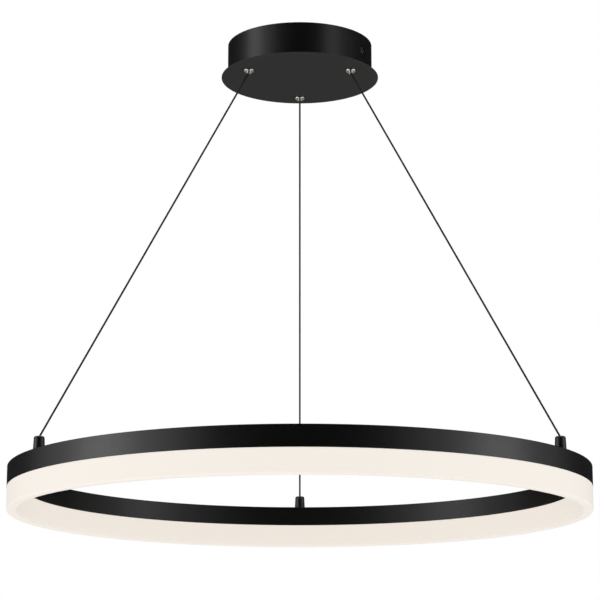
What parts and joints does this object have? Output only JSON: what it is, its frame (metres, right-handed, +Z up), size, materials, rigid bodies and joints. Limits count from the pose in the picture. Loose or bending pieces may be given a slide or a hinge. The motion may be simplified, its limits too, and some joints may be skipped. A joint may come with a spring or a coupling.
{
  "type": "led pendant light",
  "caption": "Ring-shaped LED pendant light with an opal diffuser, hung on taut height-adjustable cables from a round ceiling canopy.",
  "frame": {"origin": "on the canopy's axis, in the plane of the ceiling that the bracket and the cup's rim meet", "axes": "+Z up into the ceiling, -Y towards the front as pictured, +X to the right"},
  "size_m": [0.6, 0.6, 0.508],
  "materials": {
    "satin_black": "satin black powder coat",
    "ring_black": "satin black powder coat on an extrusion",
    "black_screw": "black oxide",
    "chrome": "polished chrome plate",
    "zinc_steel": "zinc plated",
    "spring_steel": "bright wire",
    "earth_green": "green earth screw",
    "driver_white": "moulded white",
    "terminal_grey": "moulded grey",
    "cable_black": "black jacket",
    "crimp_aluminium": "plain",
    "insert_steel": "zinc plated",
    "opal_acrylic": "satin opal acrylic",
    "led_board": "white solder mask",
    "led_phosphor": "yellow phosphor"
  },
  "bodies": {
    "canopy": {"ceiling_bracket": "zinc_steel", "ground_screw": "earth_green", "canopy_cup": "satin_black", "canopy_plate": "satin_black", "plate_studs": "zinc_steel", "plate_nuts": "zinc_steel", "canopy_set_screws": "black_screw", "driver_case": "driver_white", "driver_lid": "driver_white", "mains_terminal": "terminal_grey", "lamp_terminal": "terminal_grey", "gripper_lock_nuts": "zinc_steel", "gripper_body_1": "chrome", "gripper_body_2": "chrome", "gripper_body_3": "chrome", "gripper_cap_1": "zinc_steel", "gripper_cap_2": "zinc_steel", "gripper_cap_3": "zinc_steel", "gripper_spring_1": "spring_steel", "gripper_spring_2": "spring_steel", "gripper_spring_3": "spring_steel", "suspension_cable_1": "cable_black", "suspension_cable_2": "cable_black", "suspension_cable_3": "cable_black"},
    "ring": {"ring_channel": "ring_black", "diffuser": "opal_acrylic", "led_strip": "led_board", "led_chips": "led_phosphor", "anchor_inserts": "insert_steel", "cable_anchor_1": "satin_black", "cable_anchor_2": "satin_black", "cable_anchor_3": "satin_black", "cable_end_stop_1": "crimp_aluminium", "cable_end_stop_2": "crimp_aluminium", "cable_end_stop_3": "crimp_aluminium"},
    "plunger_1": {"gripper_plunger_1": "chrome", "gripper_balls_1": "spring_steel"},
    "plunger_2": {"gripper_plunger_2": "chrome", "gripper_balls_2": "spring_steel"},
    "plunger_3": {"gripper_plunger_3": "chrome", "gripper_balls_3": "spring_steel"}
  },
  "joints": [
    {"name": "ring_lift", "type": "slide", "parent": "canopy", "child": "ring", "axis": [0, 0, 1], "range_m": [0, 0.2], "deforming": ["suspension_cable_1", "suspension_cable_2", "suspension_cable_3"]},
    {"name": "plunger_press_1", "type": "slide", "parent": "canopy", "child": "plunger_1", "axis": [0, 0, 1], "range_m": [0, 0.0016], "stiffness_N_per_m": 600, "springref_m": -0.004, "deforming": ["gripper_spring_1"]},
    {"name": "plunger_press_2", "type": "slide", "parent": "canopy", "child": "plunger_2", "axis": [0, 0, 1], "range_m": [0, 0.0016], "stiffness_N_per_m": 600, "springref_m": -0.004, "deforming": ["gripper_spring_2"]},
    {"name": "plunger_press_3", "type": "slide", "parent": "canopy", "child": "plunger_3", "axis": [0, 0, 1], "range_m": [0, 0.0016], "stiffness_N_per_m": 600, "springref_m": -0.004, "deforming": ["gripper_spring_3"]}
  ]
}
